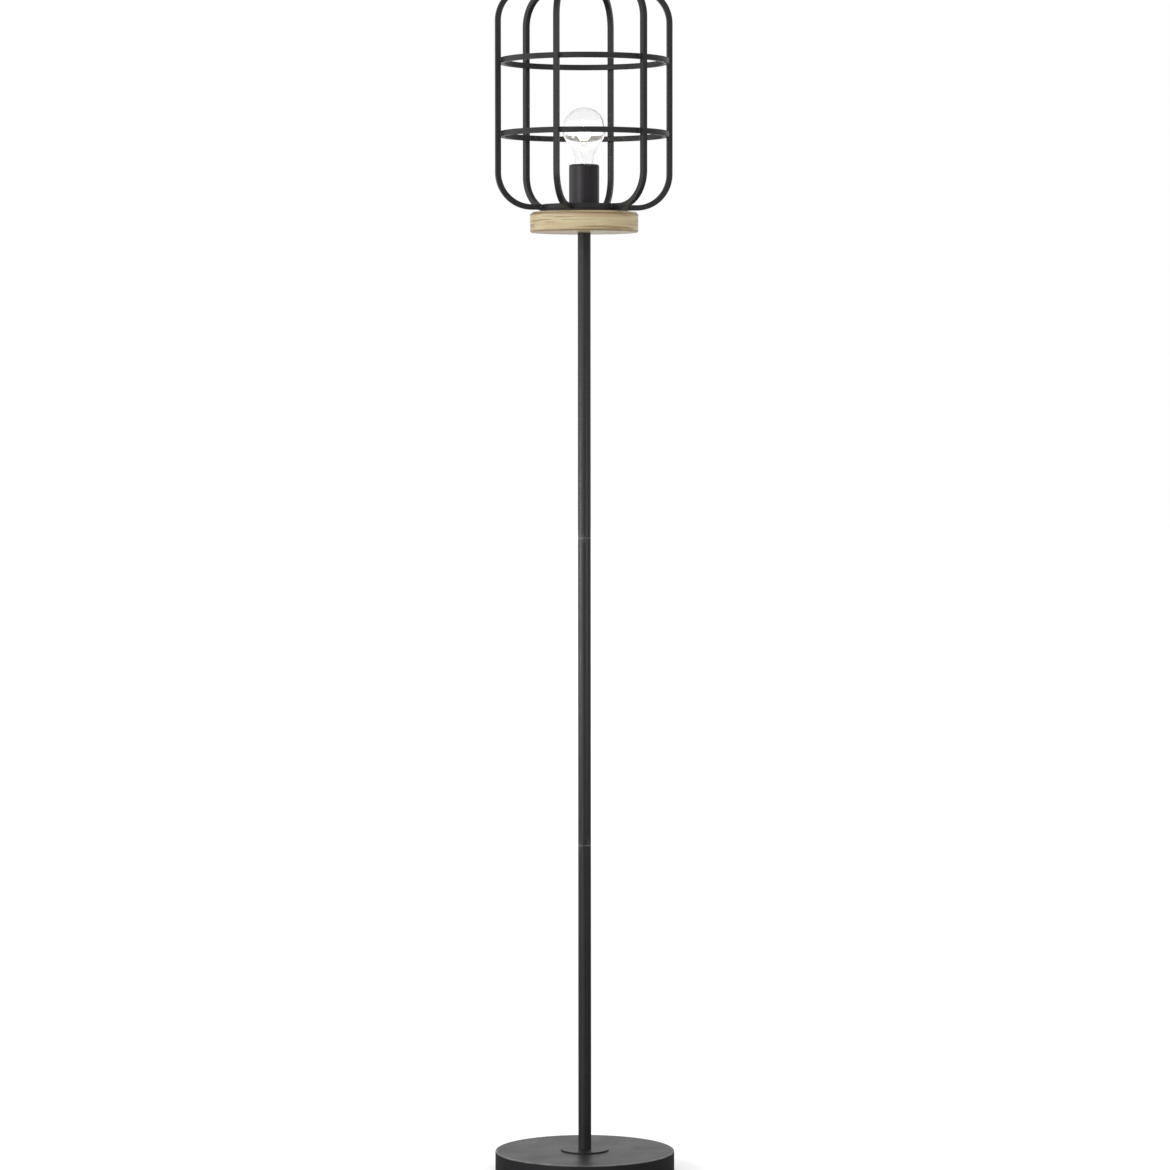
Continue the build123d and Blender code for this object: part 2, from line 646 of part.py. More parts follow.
# A black glass plug that narrows to the end contact
with BuildPart() as bulb_insulator:
    with BuildSketch(Plane.XZ):
        with BuildLine():
            Polyline(
                (0, INSULATOR_BOTTOM),
                (CONTACT_DIAMETER / 2, INSULATOR_BOTTOM),
                (INSULATOR_DIAMETER / 2, CAP_FLOOR),
                (INSULATOR_DIAMETER / 2, INSULATOR_TOP),
                (0, INSULATOR_TOP),
                close=True,
            )
        make_face()
    revolve(axis=Axis.Z)
write(bulb_insulator, "bulb_insulator")

# The metal cap, a thin shell drawn in round the insulator
with BuildPart() as bulb_cap:
    cap_start = INSULATOR_DIAMETER / 2 + PRESS_GAP
    with BuildSketch(Plane.XZ):
        with BuildLine():
            Polyline(
                (cap_start, CAP_FLOOR),
                (CAP_RADIUS, CAP_FLOOR + CAP_TAPER),
                (CAP_RADIUS, CAP_RIM),
                (CAP_RADIUS - CAP_WALL, CAP_RIM),
                (CAP_RADIUS - CAP_WALL, CAP_FLOOR + CAP_TAPER + CAP_WALL),
                (cap_start, CAP_FLOOR + CAP_WALL),
                close=True,
            )
        make_face()
    revolve(axis=Axis.Z)
write(bulb_cap, "bulb_cap")


def glass_line(inset):
    """The bulb's outline from the neck to the top, drawn in by the inset."""
    globe = GLOBE_RADIUS - inset
    neck = NECK_RADIUS - inset
    across, along = cos(radians(GLOBE_FLARE)), sin(radians(GLOBE_FLARE))
    shoulder = (globe * across, GLOBE_CENTRE - globe * along)
    straight = Line((neck, NECK_BOTTOM), (neck, CAP_RIM + NECK_STRAIGHT))
    Spline(straight @ 1, shoulder, tangents=((0, 1), (along, across)))
    CenterArc((0, GLOBE_CENTRE), globe, -GLOBE_FLARE, 90 + GLOBE_FLARE)


with BuildPart() as bulb_glass:
    with BuildSketch(Plane.XZ):
        with BuildLine():
            glass_line(0)
            glass_line(GLASS_WALL)
            Line((NECK_RADIUS, NECK_BOTTOM), (NECK_RADIUS - GLASS_WALL, NECK_BOTTOM))
            Line((0, BULB_TOP), (0, BULB_TOP - GLASS_WALL))
        make_face()
    revolve(axis=Axis.Z)
write(bulb_glass, "bulb_glass")

# The stem: a flare that closes the neck, a rod, and a flat pinch that holds the wires
with BuildPart() as bulb_stem:
    flare_radius = NECK_RADIUS - GLASS_WALL - SLIP_GAP
    rod_radius = STEM_DIAMETER / 2
    flare_top = NECK_BOTTOM + STEM_FLARE
    with BuildSketch(Plane.XZ):
        with BuildLine():
            rim = Line((flare_radius, NECK_BOTTOM), (flare_radius, NECK_BOTTOM + STEM_RIM))
            Spline(rim @ 1, (rod_radius, flare_top), tangents=((-1, 1), (0, 1)))
            Polyline(
                (rod_radius, flare_top),
                (rod_radius, STEM_TOP - PINCH_HEIGHT),
                (0, STEM_TOP - PINCH_HEIGHT),
                (0, NECK_BOTTOM),
                rim @ 0,
            )
        make_face()
    revolve(axis=Axis.Z)
    with BuildSketch(Plane.XY.offset(STEM_TOP)):
        RectangleRounded(PINCH_WIDTH, PINCH_THICKNESS, PINCH_CORNER)
    extrude(amount=-PINCH_HEIGHT)
write(bulb_stem, "bulb_stem")

# Two lead wires that spread to the filament's ends, and one support under its middle
with BuildPart() as bulb_leads:
    wire_top = GLOBE_CENTRE - FILAMENT_DIAMETER / 2
    for side in (-1, 1):
        with BuildLine(Plane.XZ):
            wire_line = FilletPolyline(
                (side * WIRE_SPREAD / 2, STEM_TOP),
                (side * WIRE_SPREAD / 2, STEM_TOP + WIRE_RISE),
                (side * FILAMENT_SPAN / 2, wire_top - WIRE_RISE),
                (side * FILAMENT_SPAN / 2, wire_top),
                radius=WIRE_BEND,
            )
        with BuildSketch(Plane(origin=wire_line @ 0, z_dir=wire_line % 0)):
            Circle(WIRE_DIAMETER / 2)
        sweep()
    with BuildSketch(Plane.XY.offset(STEM_TOP)):
        Circle(WIRE_DIAMETER / 2)
    extrude(amount=wire_top + FILAMENT_BOW - STEM_TOP)
write(bulb_leads, "bulb_leads")

with BuildPart() as bulb_filament:
    with BuildLine(Plane.XZ):
        filament_line = ThreePointArc(
            (-FILAMENT_SPAN / 2, GLOBE_CENTRE),
            (0, GLOBE_CENTRE + FILAMENT_BOW),
            (FILAMENT_SPAN / 2, GLOBE_CENTRE),
        )
    with BuildSketch(Plane(origin=filament_line @ 0, z_dir=filament_line % 0)):
        Circle(FILAMENT_DIAMETER / 2)
    sweep()
write(bulb_filament, "bulb_filament")
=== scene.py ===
import json
from math import atan2, cos, pi, radians, sin, tau

import bmesh
import bpy
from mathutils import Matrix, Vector


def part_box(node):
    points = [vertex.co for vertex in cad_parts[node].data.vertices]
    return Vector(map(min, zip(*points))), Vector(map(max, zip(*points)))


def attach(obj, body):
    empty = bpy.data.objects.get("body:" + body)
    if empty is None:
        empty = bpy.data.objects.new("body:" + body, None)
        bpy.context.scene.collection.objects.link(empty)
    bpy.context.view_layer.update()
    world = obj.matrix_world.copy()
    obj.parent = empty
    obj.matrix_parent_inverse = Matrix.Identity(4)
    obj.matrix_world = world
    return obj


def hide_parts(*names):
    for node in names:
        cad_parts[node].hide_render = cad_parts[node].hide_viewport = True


# Looks of the wire cage floor lamp, in metres. +Z is up, the front is -Y, and the origin is on
# the floor under the middle of the base.

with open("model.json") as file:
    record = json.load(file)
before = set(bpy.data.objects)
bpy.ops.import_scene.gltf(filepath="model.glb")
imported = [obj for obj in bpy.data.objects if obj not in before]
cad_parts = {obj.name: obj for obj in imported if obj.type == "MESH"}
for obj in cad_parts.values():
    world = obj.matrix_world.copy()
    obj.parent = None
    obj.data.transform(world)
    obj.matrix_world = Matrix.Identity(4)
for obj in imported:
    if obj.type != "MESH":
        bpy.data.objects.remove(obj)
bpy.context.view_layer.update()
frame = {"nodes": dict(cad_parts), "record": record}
nodes = frame["nodes"]
scene = bpy.context.scene
MM = 0.001

# ---------------------------------------------------------------- camera

CAMERA_PLACE = (0.0010, -5.939, 1.0752)
CAMERA_LENS = 131.6
CAMERA_DIP = 2.4555  # degrees below level
CAMERA_ROLL = 0.04  # degrees

camera = bpy.data.objects.new("camera", bpy.data.cameras.new("camera"))
camera.data.lens = CAMERA_LENS
camera.location = CAMERA_PLACE
camera.rotation_euler = (radians(90 - CAMERA_DIP), radians(CAMERA_ROLL), 0)
scene.collection.objects.link(camera)
scene.camera = camera

# ---------------------------------------------------------------- light and backdrop

scene.view_settings.view_transform = "Standard"


def link(tree, start, end):
    """Join an output socket to an input socket."""
    tree.links.new(start, end)


def add_node(tree, kind, operation=None, **inputs):
    """A node of this kind, with its named inputs set, or joined where the value is a socket."""
    made = tree.nodes.new(kind)
    if operation:
        made.operation = operation
    for name, value in inputs.items():
        place = int(name[1:]) if name[0] == "i" and name[1:].isdigit() else name.replace("_", " ")
        if isinstance(value, bpy.types.NodeSocket):
            link(tree, value, made.inputs[place])
        else:
            made.inputs[place].default_value = value
    return made


def larger(tree, first, second):
    """The larger of two values."""
    return add_node(tree, "ShaderNodeMath", "MAXIMUM", i0=first, i1=second).outputs[0]


def times(tree, first, second):
    """The product of two values."""
    return add_node(tree, "ShaderNodeMath", "MULTIPLY", i0=first, i1=second).outputs[0]


def remap(tree, value, low, high, to_low=0.0, to_high=1.0):
    """Take low..high to to_low..to_high, held at the ends."""
    made = add_node(
        tree, "ShaderNodeMapRange", Value=value, From_Min=low, From_Max=high,
        To_Min=to_low, To_Max=to_high,
    )
    return made.outputs["Result"]


def length(tree, point):
    """How far a point is from the origin."""
    return add_node(tree, "ShaderNodeVectorMath", "LENGTH", i0=point).outputs["Value"]


def split(tree, point):
    """The X, Y and Z of a point."""
    return add_node(tree, "ShaderNodeSeparateXYZ", Vector=point).outputs


def ray_kinds(tree):
    """Two values: 1 for rays from the camera or through glass, and 1 for mirrored rays."""
    path = tree.nodes.new("ShaderNodeLightPath").outputs
    return larger(tree, path["Is Camera Ray"], path["Is Transmission Ray"]), path["Is Glossy Ray"]


# The camera sees white all round. The object stands in a dimmer room, with a white wall on its
# left and a white backdrop behind it. Each pair is the share of a ray's direction at which that
# part sets in, or fades, and at which it has done so.
ROOM_LEVEL = 0.5
WALL_LEVEL = 1.6
WALL_SIDE = (-0.9, -0.45, 0.0)
WALL_EDGE = (0.42, 0.66)
WALL_TOP = (0.35, 0.6)
BEHIND_LEVEL = 0.98
BEHIND_EDGE = (0.72, 0.95)


def light_from_studio():
    """The world: white to the camera, and the wall, backdrop and room to all other rays."""
    world = bpy.data.worlds.new("studio")
    world.use_nodes = True
    tree = world.node_tree
    tree.nodes.clear()
    seen, _ = ray_kinds(tree)
    around = tree.nodes.new("ShaderNodeTexCoord").outputs["Generated"]
    towards = split(tree, around)
    to_wall = add_node(tree, "ShaderNodeVectorMath", "DOT_PRODUCT", i0=around, i1=WALL_SIDE)
    wall = times(
        tree, remap(tree, to_wall.outputs["Value"], *WALL_EDGE),
        remap(tree, towards["Z"], *WALL_TOP, 1.0, 0.0),
    )
    wall = remap(tree, wall, 0.0, 1.0, ROOM_LEVEL, WALL_LEVEL)
    behind = remap(tree, towards["Y"], *BEHIND_EDGE, ROOM_LEVEL, BEHIND_LEVEL)
    level = larger(tree, seen, larger(tree, wall, behind))
    backdrop = add_node(tree, "ShaderNodeBackground", Color=(1, 1, 1, 1), Strength=level)
    link(tree, backdrop.outputs[0], add_node(tree, "ShaderNodeOutputWorld").inputs["Surface"])
    scene.world = world


light_from_studio()

# Area lamps: name, place, target, width, height and power in watts
SOFTBOXES = (
    ("key", (-2.4, -3.3, 0.9), (0, 0, 0.9), 1.6, 1.3, 16),
    ("fill", (2.0, -2.6, 3.4), (0, 0, 1.0), 2.0, 2.0, 28),
    ("left", (-0.95, -0.27, 0.80), (0, 0, 0.80), 0.35, 0.35, 4.9),
    ("right", (0.8, -0.8, 0.79), (0, 0, 0.79), 0.35, 0.35, 2.4),
)


def softbox(name, place, target, width, height, power):
    """An area lamp at a place, turned to a target."""
    lamp = bpy.data.lights.new(name, "AREA")
    lamp.shape = "RECTANGLE"
    lamp.size = width
    lamp.size_y = height
    lamp.energy = power
    box = bpy.data.objects.new(name, lamp)
    box.location = place
    aim = Vector(target) - Vector(place)
    box.rotation_euler = aim.to_track_quat("-Z", "Y").to_euler()
    scene.collection.objects.link(box)


for lamp_values in SOFTBOXES:
    softbox(*lamp_values)

# ---------------------------------------------------------------- materials


def empty_material(name):
    """A material with no nodes yet, and its tree."""
    material = bpy.data.materials.new(name)
    material.use_nodes = True
    material.node_tree.nodes.clear()
    return material, material.node_tree


def show(tree, shader):
    """Join a shader to the material's output."""
    out = tree.nodes.new("ShaderNodeOutputMaterial")
    link(tree, shader.outputs[0], out.inputs["Surface"])


def new_material(name, **sockets):
    """A material with one Principled shader, and that shader with these sockets set."""
    material, tree = empty_material(name)
    shader = add_node(tree, "ShaderNodeBsdfPrincipled", **sockets)
    show(tree, shader)
    return material, tree, shader


def place_of(tree, stretch=(1, 1, 1)):
    """The point on the piece, in metres, stretched along the axes."""
    coordinates = tree.nodes.new("ShaderNodeTexCoord")
    scaled = add_node(
        tree, "ShaderNodeVectorMath", "MULTIPLY", i0=coordinates.outputs["Object"], i1=stretch
    )
    return scaled.outputs[0]


def noise(tree, point, scale, detail=2.0, roughness=0.5, distortion=0.0):
    """Noise from 0 to 1 with this many waves in a metre."""
    made = add_node(
        tree, "ShaderNodeTexNoise", Vector=point, Scale=scale, Detail=detail,
        Roughness=roughness, Distortion=distortion,
    )
    return made.outputs["Fac"]


def mix(tree, amount, first, second):
    """From the first colour to the second."""
    made = tree.nodes.new("ShaderNodeMix")
    made.data_type = "RGBA"
    # Of the node's sockets, 0 is the amount, and 6 and 7 are its two colours
    for place, value in ((0, amount), (6, first), (7, second)):
        socket = made.inputs[place]
        if isinstance(value, bpy.types.NodeSocket):
            link(tree, value, socket)
        else:
            socket.default_value = value if isinstance(value, float) else (*value, 1)
    return made.outputs[2]


def bump(tree, shader, height, distance, strength=1.0):
    """Raise the surface by the height, times the distance in metres."""
    made = add_node(tree, "ShaderNodeBump", Height=height, Distance=distance, Strength=strength)
    link(tree, made.outputs[0], shader.inputs["Normal"])


def along(tree, axis):
    """How far the point on the piece lies along an axis, in metres."""
    return split(tree, place_of(tree))[axis]


def near(tree, value, middle, reach, edge):
    """1 where the value lies within reach of the middle, and 0 beyond the edge."""
    offset = add_node(tree, "ShaderNodeMath", "SUBTRACT", i0=value, i1=middle)
    distance = add_node(tree, "ShaderNodeMath", "ABSOLUTE", i0=offset.outputs[0])
    return remap(tree, distance.outputs[0], reach, edge, 1.0, 0.0)


# Where the coat is worn, with pale lines that are partly wear and partly a painted highlight: reach
# and edge, in metres, on either side of a line
JOINT_LINE = (0.6 * MM, 1.1 * MM)
JOINT_SMEAR = (2 * MM, 14 * MM)
RIM_HEIGHT = (0.4 * MM, 1.6 * MM)
RIM_RADIUS = (1.2 * MM, 4.0 * MM)
COAT_DARK = (0.0095, 0.0095, 0.010)
COAT_PALE = (0.0135, 0.0133, 0.0137)
COAT_SMEARED = (0.045, 0.045, 0.046)
COAT_SCUFFED = (0.06, 0.058, 0.058)
# Pale grey of worn coat, which also paints a highlight along the joint lines and the rim
COAT_WORN_AND_HIGHLIGHT = (0.2, 0.2, 0.2)
COAT_GRAIN = 0.12 * MM


def black_coat(
    name, joints=(), tint=(1.0, 1.0, 1.0), rim=None, gloss=(0.38, 0.46), painted_shade=1.0, specular=0.4,
):
    """Fine-textured matt black powder coat, a little cloudy. It is rubbed thin at the heights in
    joints, and worn along a rim that is given as its height and radius; the pale lines there are
    partly wear and partly a painted highlight."""
    material, tree, shader = new_material(
        name, Specular_IOR_Level=specular, Specular_Tint=(*tint, 1)
    )
    point = place_of(tree)
    grain = noise(tree, point, 1500, detail=1.5)
    cloud = noise(tree, point, 24, detail=3, roughness=0.55, distortion=0.3)
    cloud = remap(tree, cloud, 0.3, 0.7)
    # Both tones are scaled down by the given factor: painted shade that makes darker copies of one
    # coat
    dark, pale = ([level * painted_shade for level in colour] for colour in (COAT_DARK, COAT_PALE))
    colour = mix(tree, cloud, dark, pale)
    if joints:
        height = along(tree, "Z")
        patchy = noise(tree, place_of(tree, (1, 1, 0.25)), 260, detail=2)
        for joint in joints:
            # The pale joint line is partly worn coat and partly a painted glint
            line = near(tree, height, joint, *JOINT_LINE)
            worn_glint = times(tree, line, remap(tree, patchy, 0.35, 0.65, 0.15, 1.0))
            colour = mix(tree, worn_glint, colour, COAT_WORN_AND_HIGHLIGHT)
            rubbed = near(tree, height, joint, *JOINT_SMEAR)
            smear = times(tree, rubbed, remap(tree, patchy, 0.5, 0.66, 0.0, 0.8))
            colour = mix(tree, smear, colour, COAT_SMEARED)
    if rim:
        rim_height, rim_radius = rim
        # The pale line along the base's top rim is partly worn coat and partly a painted highlight
        edge = times(
            tree, near(tree, along(tree, "Z"), rim_height, *RIM_HEIGHT),
            near(tree, length(tree, place_of(tree, (1, 1, 0))), rim_radius, *RIM_RADIUS),
        )
        rubbed = remap(tree, noise(tree, point, 45, detail=3), 0.3, 0.7, 0.25, 1.0)
        colour = mix(tree, times(tree, edge, rubbed), colour, COAT_WORN_AND_HIGHLIGHT)
        scuff = noise(tree, place_of(tree, (22, 130, 130)), 1.0, detail=3, distortion=1.5)
        colour = mix(tree, remap(tree, scuff, 0.64, 0.74, 0.0, 0.4), colour, COAT_SCUFFED)
    link(tree, colour, shader.inputs["Base Color"])
    link(tree, remap(tree, cloud, 0.0, 1.0, *gloss), shader.inputs["Roughness"])
    bump(tree, shader, grain, COAT_GRAIN, 0.5)
    return material


WOOD_YELLOW = (0.565, 0.488, 0.292)
WOOD_TAN = (0.49, 0.391, 0.218)
WOOD_BAND = (0.49, 0.33, 0.20)
WOOD_FIBRE = (0.42, 0.31, 0.18)
WOOD_STREAK = (0.27, 0.175, 0.095)
WOOD_EDGE = (0.20, 0.145, 0.08)
WOOD_GRAIN = 0.08 * MM


def pale_wood():
    """Straight-grained pale wood under satin oil. The grain runs along X, and the growth rings
    lie nearly flat, so they show as bands and dark streaks round the disc's side."""
    material, tree, shader = new_material("pale_wood", Specular_IOR_Level=0.4)
    low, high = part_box("wood_disc")
    band = noise(tree, place_of(tree, (5, 9, 200)), 1.0, detail=2, roughness=0.4)
    fibre = noise(tree, place_of(tree, (26, 800, 1300)), 1.0, detail=3, roughness=0.6)
    streak = noise(tree, place_of(tree, (12, 16, 420)), 1.0, detail=2, roughness=0.5)
    patch = noise(tree, place_of(tree, (10, 12, 60)), 1.0, detail=2)
    colour = WOOD_YELLOW
    # Where in the noise each tone sets in, where it is full, and how strong it is
    for pattern, start, full, strength, tone in (
        (patch, 0.35, 0.65, 1.0, WOOD_TAN),
        (band, 0.50, 0.64, 0.85, WOOD_BAND),
        (fibre, 0.48, 0.72, 0.45, WOOD_FIBRE),
        (streak, 0.565, 0.62, 0.85, WOOD_STREAK),
    ):
        colour = mix(tree, remap(tree, pattern, start, full, 0.0, strength), colour, tone)
    # Two thin lines round the side, close to its lower and upper edges, are darker and browner
    height = along(tree, "Z")
    for edge, reach in ((low.z + 1.4 * MM, 0.8 * MM), (high.z - 3.6 * MM, 0.6 * MM)):
        line = near(tree, height, edge, reach, reach + 1.0 * MM)
        line = times(tree, line, remap(tree, patch, 0.3, 0.6, 0.5, 0.9))
        colour = mix(tree, line, colour, WOOD_EDGE)
    link(tree, colour, shader.inputs["Base Color"])
    link(tree, remap(tree, fibre, 0.3, 0.7, 0.30, 0.42), shader.inputs["Roughness"])
    bump(tree, shader, fibre, WOOD_GRAIN, 0.5)
    return material


def flecked(name, first, second, waves, gloss, grain_waves, grain_depth, metallic):
    """Two colours in clouds, roughness from one end of gloss to the other, and a fine grain. The
    clouds and the grain have this many waves in a metre."""
    material, tree, shader = new_material(name, Metallic=metallic)
    point = place_of(tree)
    cloud = noise(tree, point, waves, detail=3)
    grain = noise(tree, point, grain_waves, detail=2)
    colour = mix(tree, remap(tree, cloud, 0.3, 0.7), first, second)
    link(tree, colour, shader.inputs["Base Color"])
    link(tree, remap(tree, grain, 0.3, 0.7, *gloss), shader.inputs["Roughness"])
    bump(tree, shader, grain, grain_depth, 0.6)
    return material


# The bloom of the lit bulb lies on the glass, a little under the filament's ends
BLOOM_DROP = 8 * MM
BLOOM_REACH = 6 * MM
BLOOM_EDGE = 22 * MM
BLOOM_STRENGTH = 0.07
LAMP_GLOW = (1.0, 0.6, 0.27)


def clear_glass(name, index):
    """Clear glass with the bloom of the lit bulb on it."""
    material, tree, shader = new_material(
        name, Base_Color=(0.98, 0.979, 0.978, 1), Roughness=0.0, IOR=index,
        Transmission_Weight=1.0, Emission_Color=(1.0, 0.95, 0.87, 1),
    )
    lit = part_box("bulb_filament")[0].z - BLOOM_DROP
    bloom = near(tree, along(tree, "Z"), lit, BLOOM_REACH, BLOOM_EDGE)
    link(tree, times(tree, bloom, BLOOM_STRENGTH), shader.inputs["Emission Strength"])
    return material


def glowing(name):
    """Glowing tungsten."""
    material, _, _ = new_material(
        name, Base_Color=(0.9, 0.55, 0.25, 1), Roughness=0.5,
        Emission_Color=(*LAMP_GLOW, 1), Emission_Strength=4.0,
    )
    return material


# Lower than real glass, so that the thin wall and the stem stay as faint as in the photograph
BULB_INDEX = 1.35
STEM_INDEX = 1.12

# Name, two colours, cloud waves, roughness from and to, grain waves, grain depth, metallic
FLECKED = (
    ("pad_foam", (0.035, 0.035, 0.035), (0.05, 0.05, 0.05), 90, (0.85, 1.0), 1400, 3e-4, 0.0),
    ("bush_rubber", (0.02, 0.02, 0.02), (0.028, 0.028, 0.028), 200, (0.55, 0.7), 2500, 5e-5, 0.0),
    ("porcelain", (0.80, 0.78, 0.72), (0.84, 0.82, 0.77), 70, (0.12, 0.2), 500, 4e-5, 0.0),
    ("black_glass", (0.01, 0.01, 0.011), (0.016, 0.016, 0.017), 150, (0.08, 0.16), 700, 3e-5, 0.0),
    ("cast_iron_weight", (0.09, 0.087, 0.083), (0.13, 0.125, 0.12), 120, (0.6, 0.8), 700, 4e-4, .6),
    ("zinc_plated_steel", (0.6, 0.6, 0.58), (0.68, 0.68, 0.66), 60, (0.28, 0.42), 900, 3e-5, 1.0),
    ("contact_brass", (0.80, 0.58, 0.26), (0.87, 0.66, 0.33), 150, (0.2, 0.34), 1200, 2e-5, 1.0),
    ("cap_metal", (0.74, 0.73, 0.70), (0.80, 0.79, 0.76), 130, (0.25, 0.4), 1100, 2e-5, 1.0),
    ("lead_wire", (0.50, 0.47, 0.44), (0.60, 0.57, 0.53), 300, (0.3, 0.45), 2500, 1e-5, 1.0),
)

looks = {
    "black_coated_steel": black_coat("black_coated_steel"),
    "pale_wood": pale_wood(),
    "clear_glass": clear_glass("clear_glass", BULB_INDEX),
    "glowing_filament": glowing("glowing_filament"),
    **{values[0]: flecked(*values) for values in FLECKED},
}


def dress(name, look):
    """Give a node of the frame one material."""
    mesh = nodes[name].data
    mesh.materials.clear()
    mesh.materials.append(look)


for subpart in frame["record"]["subparts"]:
    dress(subpart["node"], looks[subpart["material_slot"]])

# The coat's sheen is slightly plum on the sleeve and the base, and neutral elsewhere
PLUM_SHEEN = (1.0, 0.93, 0.99)
TUBES = ("pole_tube_lower", "pole_tube_middle", "pole_tube_upper")
tube_joints = [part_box(name)[1].z for name in TUBES[:-1]]
base_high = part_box("base_shell")[1]

tube_coat = black_coat("black_coated_steel_tubes", joints=tube_joints)
for name in TUBES:
    dress(name, tube_coat)
# The base, its flange and the sleeve get darker copies of the same coat, with shade painted into
# their colour
base_coat = black_coat(
    "black_coated_steel_base", tint=PLUM_SHEEN, rim=(base_high.z, base_high.x), painted_shade=0.8,
)
dress("base_shell", base_coat)
dress("pole_flange", base_coat)
dress("holder_sleeve", black_coat(
    "black_coated_steel_sleeve", tint=PLUM_SHEEN, gloss=(0.31, 0.37), painted_shade=0.45, specular=0.5,
))
dress("bulb_stem", clear_glass("clear_glass_stem", STEM_INDEX))

# ---------------------------------------------------------------- pieces in mesh code

SAME_POINT = 1e-7  # metres


def skin(shape, rows, ends=False):
    """Add quads between rows of points to a shape. Each row is a loop. The rows are a loop as
    well, unless they have ends, which are then closed."""
    count = len(rows)
    width = len(rows[0])
    grid = [[shape.verts.new(point) for point in row] for row in rows]
    for i in range(count - 1 if ends else count):
        for j in range(width):
            k = (j + 1) % width
            following = grid[(i + 1) % count]
            shape.faces.new((grid[i][j], grid[i][k], following[k], following[j]))
    if ends:
        shape.faces.new(grid[0])
        shape.faces.new(grid[-1])


def piece(name, shape, body, slot, smooth=True):
    """Turn a shape into a piece of the lamp."""
    bmesh.ops.remove_doubles(shape, verts=shape.verts, dist=SAME_POINT)
    bmesh.ops.recalc_face_normals(shape, faces=shape.faces)
    for face in shape.faces:
        face.smooth = smooth
    mesh = bpy.data.meshes.new(name)
    shape.to_mesh(mesh)
    shape.free()
    mesh.materials.append(looks[slot])
    made = bpy.data.objects.new(name, mesh)
    scene.collection.objects.link(made)
    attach(made, body)
    return made


# The 27 mm screw thread. One right-handed wave shapes the cap and the shell that it turns in,
# so they stay meshed as the bulb turns and lifts.
THREAD_PITCH = 3.629 * MM
THREAD_MIDDLE = 12.58 * MM
THREAD_DEPTH = 0.42 * MM
THREAD_PLAY = 0.35 * MM
COLUMNS = 48
ROWS_PER_PITCH = 12


def threaded_rows(stations, outward):
    """Rows of points round Z, one for each station: its height, radius and depth of thread."""
    rows = []
    for height, radius, depth in stations:
        row = []
        for i in range(COLUMNS):
            angle = tau * i / COLUMNS
            wave = depth * cos(tau * height / THREAD_PITCH - angle)
            reach = radius + outward + wave
            row.append((reach * cos(angle), reach * sin(angle), height))
        rows.append(row)
    return rows


def spaced(start, end, step):
    """Evenly spaced values from start to end, about a step apart."""
    count = max(1, round((end - start) / step))
    return [start + (end - start) * i / count for i in range(count + 1)]


thread_step = THREAD_PITCH / ROWS_PER_PITCH

# The bulb's cap: a rim round the insulator, a cone, the thread, and a plain skirt
CAP_WALL = 0.3 * MM
CAP_PLAY = 0.02 * MM
CAP_CONE = 2.4 * MM
CAP_SKIRT = 7.6 * MM
CAP_FADE = 1.6 * MM
SKIRT_RISE = 0.6 * MM
SKIRT_ROUND = 0.5 * MM
SKIRT_CURL = 0.05 * MM
cap_low, cap_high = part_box("bulb_cap")
insulator_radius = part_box("bulb_insulator")[1].x
thread_start = cap_low.z + CAP_CONE
thread_end = cap_high.z - CAP_SKIRT
cap_stations = [(cap_low.z, insulator_radius + CAP_PLAY + CAP_WALL, 0.0)]
for height in spaced(thread_start, thread_end, thread_step):
    # The thread grows out of the cone at its lower end and runs out into the skirt above
    rise = min(1.0, (height - thread_start) / CAP_FADE)
    fall = min(1.0, (thread_end - height) / CAP_FADE)
    radius = THREAD_MIDDLE - THREAD_DEPTH * (1 - rise) + THREAD_DEPTH * (1 - fall)
    cap_stations.append((height, radius, THREAD_DEPTH * min(rise, fall)))
cap_stations += [
    (thread_end + SKIRT_RISE, cap_high.x, 0.0),
    (cap_high.z - SKIRT_ROUND, cap_high.x, 0.0),
    (cap_high.z, cap_high.x - SKIRT_CURL, 0.0),
]
cap_shape = bmesh.new()
skin(cap_shape, threaded_rows(cap_stations, 0.0) + threaded_rows(cap_stations[::-1], -CAP_WALL))
cap = piece("bulb_cap_threaded", cap_shape, "bulb", "cap_metal")
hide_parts("bulb_cap")

# The lampholder's shell
SHELL_WALL = 0.4 * MM
shell_low, shell_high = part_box("holder_thread")
shell_stations = [
    (height, THREAD_MIDDLE + THREAD_PLAY, THREAD_DEPTH)
    for height in spaced(shell_low.z, shell_high.z, thread_step)
]
shell_shape = bmesh.new()
skin(
    shell_shape,
    threaded_rows(shell_stations, SHELL_WALL) + threaded_rows(shell_stations[::-1], 0.0),
)

# Its lug, which a terminal screw holds down
LUG_WIDTH = 5 * MM
LUG_THICKNESS = 0.5 * MM
LUG_START = 6.6 * MM
LUG_END = 13.1 * MM
LUG_HOLE = 1.65 * MM
LUG_STEPS = 32
LEVEL = 1e-9  # a ray with less slope than this is level or upright
TERMINAL_HEAD = 2.4 * MM
screw_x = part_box("terminal_screws")[1].x - TERMINAL_HEAD


def lug_edge(turn):
    """Where a ray from the screw's axis leaves the lug."""
    out, up = cos(turn), sin(turn)
    reaches = []
    if abs(out) > LEVEL:
        reaches.append(((LUG_END if out > 0 else LUG_START) - screw_x) / out)
    if abs(up) > LEVEL:
        reaches.append(LUG_WIDTH / 2 / abs(up))
    return min(reaches)


